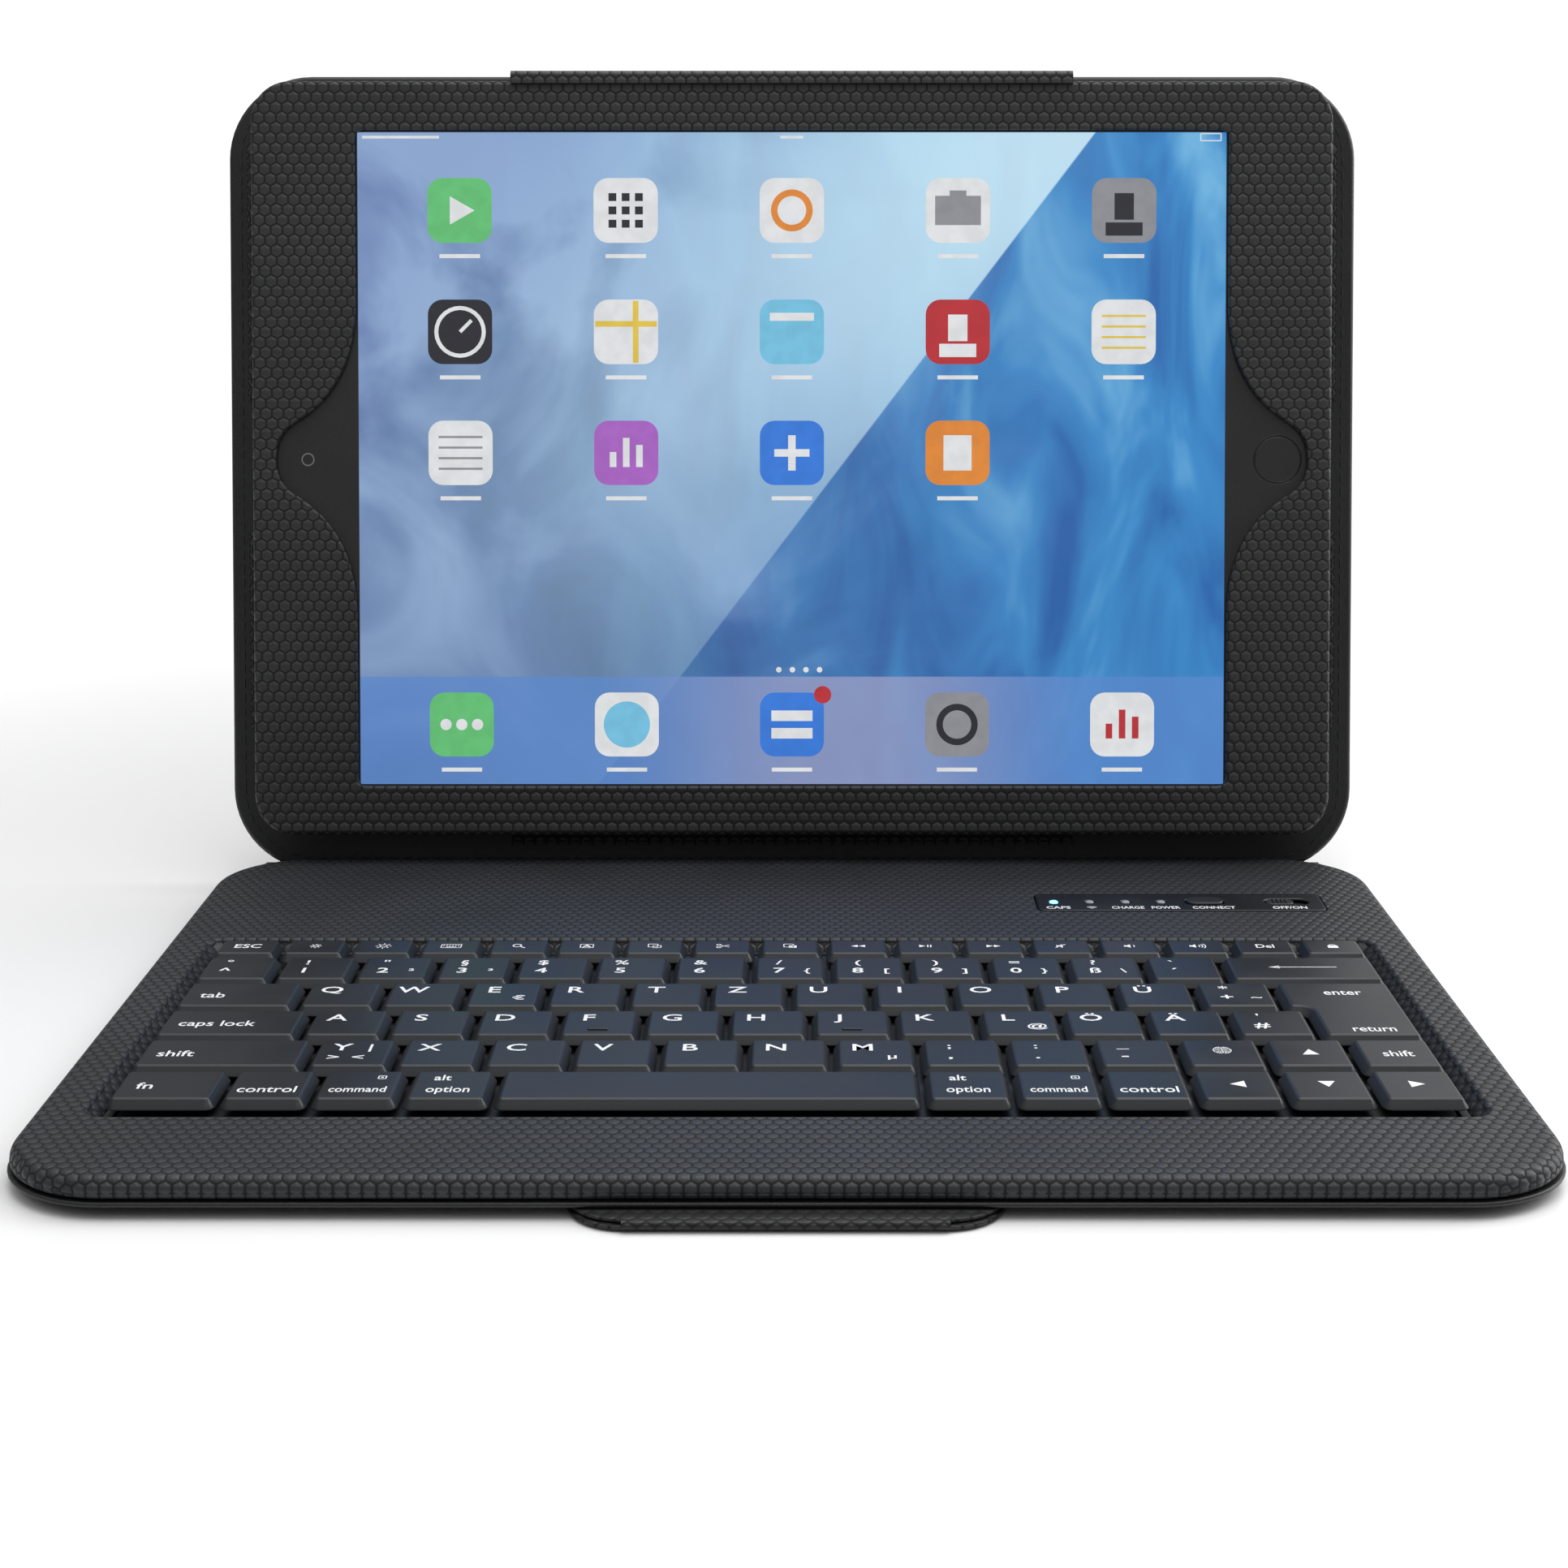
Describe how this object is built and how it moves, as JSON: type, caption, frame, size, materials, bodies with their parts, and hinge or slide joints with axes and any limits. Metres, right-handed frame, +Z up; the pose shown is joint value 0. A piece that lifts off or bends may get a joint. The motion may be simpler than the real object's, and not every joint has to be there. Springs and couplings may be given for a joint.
{
  "type": "tablet keyboard case",
  "caption": "Folding tablet keyboard case with a folded two-leaf spine, a tablet pocket in the lid, pressing keys and a closure tab.",
  "frame": {"origin": "centre of the open case's footprint, on the surface it stands on", "axes": "+X to the user's right, +Y from the user towards the lid, +Z up"},
  "size_m": [0.259, 0.232, 0.1815],
  "materials": {
    "faux_leather": "hexagon embossed, satin",
    "smooth_cover": "fine smooth grain, satin",
    "lining": "soft brushed microfibre",
    "key_plastic": "moulded, satin",
    "tray_plastic": "moulded, matt",
    "status_plastic": "smooth",
    "button_rubber": "matt",
    "led_lens": "clear lens",
    "steel": "brushed",
    "dome_rubber": "matt",
    "circuit": "solder mask",
    "battery_foil": "foil wrap",
    "tablet_metal": "bead blasted",
    "tablet_screen": "polished",
    "tablet_button": "polished"
  },
  "bodies": {
    "keyboard_half": {"bottom_panel": "smooth_cover", "keyboard_surround": "faux_leather", "keyboard_tray": "tray_plastic", "base_plate": "steel", "dome_sheet": "dome_rubber", "circuit_board": "circuit", "battery": "battery_foil", "charge_port": "steel", "status_panel": "status_plastic", "caps_led": "led_lens", "wireless_led": "led_lens", "charge_led": "led_lens", "power_led": "led_lens", "closure_root": "faux_leather"},
    "spine_lower": {"spine_lower": "smooth_cover"},
    "spine_upper": {"spine_upper": "smooth_cover"},
    "lid": {"back_panel": "smooth_cover", "lid_lining": "lining", "pocket_frame": "faux_leather", "gusset_bottom": "faux_leather", "gusset_left_upper": "faux_leather", "gusset_left_lower": "faux_leather", "gusset_right_upper": "faux_leather", "gusset_right_lower": "faux_leather", "tablet_shell": "tablet_metal", "tablet_core": "battery_foil", "tablet_glass": "tablet_screen", "rear_lens": "tablet_screen"},
    "top_flap": {"top_flap": "faux_leather"},
    "home_button": {"home_button": "tablet_button"},
    "closure_riser": {"closure_riser": "faux_leather"},
    "closure_clasp": {"closure_clasp": "faux_leather", "clasp_magnet": "steel"},
    "power_switch": {"power_switch": "button_rubber"},
    "connect_button": {"connect_button": "button_rubber"},
    "function_keys": {"function_keys": "key_plastic"},
    "number_keys": {"number_keys": "key_plastic"},
    "backspace_key": {"backspace_key": "key_plastic"},
    "tab_key": {"tab_key": "key_plastic"},
    "upper_letter_keys": {"upper_letter_keys": "key_plastic"},
    "enter_key": {"enter_key": "key_plastic"},
    "caps_lock_key": {"caps_lock_key": "key_plastic"},
    "home_letter_keys": {"home_letter_keys": "key_plastic"},
    "shift_left_key": {"shift_left_key": "key_plastic"},
    "lower_letter_keys": {"lower_letter_keys": "key_plastic"},
    "globe_key": {"globe_key": "key_plastic"},
    "up_arrow_key": {"up_arrow_key": "key_plastic"},
    "shift_right_key": {"shift_right_key": "key_plastic"},
    "fn_key": {"fn_key": "key_plastic"},
    "control_left_key": {"control_left_key": "key_plastic"},
    "command_left_key": {"command_left_key": "key_plastic"},
    "option_left_key": {"option_left_key": "key_plastic"},
    "space_bar": {"space_bar": "key_plastic"},
    "option_right_key": {"option_right_key": "key_plastic"},
    "command_right_key": {"command_right_key": "key_plastic"},
    "control_right_key": {"control_right_key": "key_plastic"},
    "left_arrow_key": {"left_arrow_key": "key_plastic"},
    "down_arrow_key": {"down_arrow_key": "key_plastic"},
    "right_arrow_key": {"right_arrow_key": "key_plastic"}
  },
  "joints": [
    {"name": "base_fold", "type": "hinge", "parent": "keyboard_half", "child": "spine_lower", "pos_m": [0, 0.0745, 0.00045], "axis": [1, 0, 0], "range_deg": [0, 90]},
    {"name": "spine_fold", "type": "hinge", "parent": "spine_lower", "child": "spine_upper", "pos_m": [0, 0.0841, 0.00095], "axis": [1, 0, 0], "range_deg": [-180, 0]},
    {"name": "lid_fold", "type": "hinge", "parent": "spine_upper", "child": "lid", "pos_m": [0, 0.0745, 0.00145], "axis": [1, 0, 0], "range_deg": [0, 192.75]},
    {"name": "flap_fold", "type": "hinge", "parent": "lid", "child": "top_flap", "pos_m": [0, 0.10432, 0.18084], "axis": [1, 0, 0], "range_deg": [0, 110]},
    {"name": "home_press", "type": "slide", "parent": "lid", "child": "home_button", "axis": [0, 0.9753, -0.2207], "range_m": [0, 0.0004], "stiffness_N_per_m": 1200},
    {"name": "tab_fold", "type": "hinge", "parent": "keyboard_half", "child": "closure_riser", "pos_m": [0, -0.1164, 0.0008], "axis": [1, 0, 0], "range_deg": [-270, 0]},
    {"name": "clasp_fold", "type": "hinge", "parent": "closure_riser", "child": "closure_clasp", "pos_m": [0, -0.0955, 0.00035], "axis": [1, 0, 0], "range_deg": [-90, 0]},
    {"name": "power_slide", "type": "slide", "parent": "keyboard_half", "child": "power_switch", "axis": [1, 0, 0], "range_m": [0, 0.003]},
    {"name": "connect_press", "type": "slide", "parent": "keyboard_half", "child": "connect_button", "axis": [0, 0, -1], "range_m": [0, 0.0004], "stiffness_N_per_m": 1200},
    {"name": "function_press", "type": "slide", "parent": "keyboard_half", "child": "function_keys", "axis": [0, 0, -1], "range_m": [0, 0.0012], "stiffness_N_per_m": 500},
    {"name": "number_press", "type": "slide", "parent": "keyboard_half", "child": "number_keys", "axis": [0, 0, -1], "range_m": [0, 0.0012], "stiffness_N_per_m": 500},
    {"name": "backspace_press", "type": "slide", "parent": "keyboard_half", "child": "backspace_key", "axis": [0, 0, -1], "range_m": [0, 0.0012], "stiffness_N_per_m": 500},
    {"name": "tab_press", "type": "slide", "parent": "keyboard_half", "child": "tab_key", "axis": [0, 0, -1], "range_m": [0, 0.0012], "stiffness_N_per_m": 500},
    {"name": "upper_letter_press", "type": "slide", "parent": "keyboard_half", "child": "upper_letter_keys", "axis": [0, 0, -1], "range_m": [0, 0.0012], "stiffness_N_per_m": 500},
    {"name": "enter_press", "type": "slide", "parent": "keyboard_half", "child": "enter_key", "axis": [0, 0, -1], "range_m": [0, 0.0012], "stiffness_N_per_m": 500},
    {"name": "caps_lock_press", "type": "slide", "parent": "keyboard_half", "child": "caps_lock_key", "axis": [0, 0, -1], "range_m": [0, 0.0012], "stiffness_N_per_m": 500},
    {"name": "home_letter_press", "type": "slide", "parent": "keyboard_half", "child": "home_letter_keys", "axis": [0, 0, -1], "range_m": [0, 0.0012], "stiffness_N_per_m": 500},
    {"name": "shift_left_press", "type": "slide", "parent": "keyboard_half", "child": "shift_left_key", "axis": [0, 0, -1], "range_m": [0, 0.0012], "stiffness_N_per_m": 500},
    {"name": "lower_letter_press", "type": "slide", "parent": "keyboard_half", "child": "lower_letter_keys", "axis": [0, 0, -1], "range_m": [0, 0.0012], "stiffness_N_per_m": 500},
    {"name": "globe_press", "type": "slide", "parent": "keyboard_half", "child": "globe_key", "axis": [0, 0, -1], "range_m": [0, 0.0012], "stiffness_N_per_m": 500},
    {"name": "up_arrow_press", "type": "slide", "parent": "keyboard_half", "child": "up_arrow_key", "axis": [0, 0, -1], "range_m": [0, 0.0012], "stiffness_N_per_m": 500},
    {"name": "shift_right_press", "type": "slide", "parent": "keyboard_half", "child": "shift_right_key", "axis": [0, 0, -1], "range_m": [0, 0.0012], "stiffness_N_per_m": 500},
    {"name": "fn_press", "type": "slide", "parent": "keyboard_half", "child": "fn_key", "axis": [0, 0, -1], "range_m": [0, 0.0012], "stiffness_N_per_m": 500},
    {"name": "control_left_press", "type": "slide", "parent": "keyboard_half", "child": "control_left_key", "axis": [0, 0, -1], "range_m": [0, 0.0012], "stiffness_N_per_m": 500},
    {"name": "command_left_press", "type": "slide", "parent": "keyboard_half", "child": "command_left_key", "axis": [0, 0, -1], "range_m": [0, 0.0012], "stiffness_N_per_m": 500},
    {"name": "option_left_press", "type": "slide", "parent": "keyboard_half", "child": "option_left_key", "axis": [0, 0, -1], "range_m": [0, 0.0012], "stiffness_N_per_m": 500},
    {"name": "space_bar_press", "type": "slide", "parent": "keyboard_half", "child": "space_bar", "axis": [0, 0, -1], "range_m": [0, 0.0012], "stiffness_N_per_m": 500},
    {"name": "option_right_press", "type": "slide", "parent": "keyboard_half", "child": "option_right_key", "axis": [0, 0, -1], "range_m": [0, 0.0012], "stiffness_N_per_m": 500},
    {"name": "command_right_press", "type": "slide", "parent": "keyboard_half", "child": "command_right_key", "axis": [0, 0, -1], "range_m": [0, 0.0012], "stiffness_N_per_m": 500},
    {"name": "control_right_press", "type": "slide", "parent": "keyboard_half", "child": "control_right_key", "axis": [0, 0, -1], "range_m": [0, 0.0012], "stiffness_N_per_m": 500},
    {"name": "left_arrow_press", "type": "slide", "parent": "keyboard_half", "child": "left_arrow_key", "axis": [0, 0, -1], "range_m": [0, 0.0012], "stiffness_N_per_m": 500},
    {"name": "down_arrow_press", "type": "slide", "parent": "keyboard_half", "child": "down_arrow_key", "axis": [0, 0, -1], "range_m": [0, 0.0012], "stiffness_N_per_m": 500},
    {"name": "right_arrow_press", "type": "slide", "parent": "keyboard_half", "child": "right_arrow_key", "axis": [0, 0, -1], "range_m": [0, 0.0012], "stiffness_N_per_m": 500}
  ],
  "couplings": [
    {"joint": "base_fold", "follows": "spine_fold", "ratio": -0.5},
    {"joint": "lid_fold", "follows": "spine_fold", "ratio": -1.0708}
  ]
}
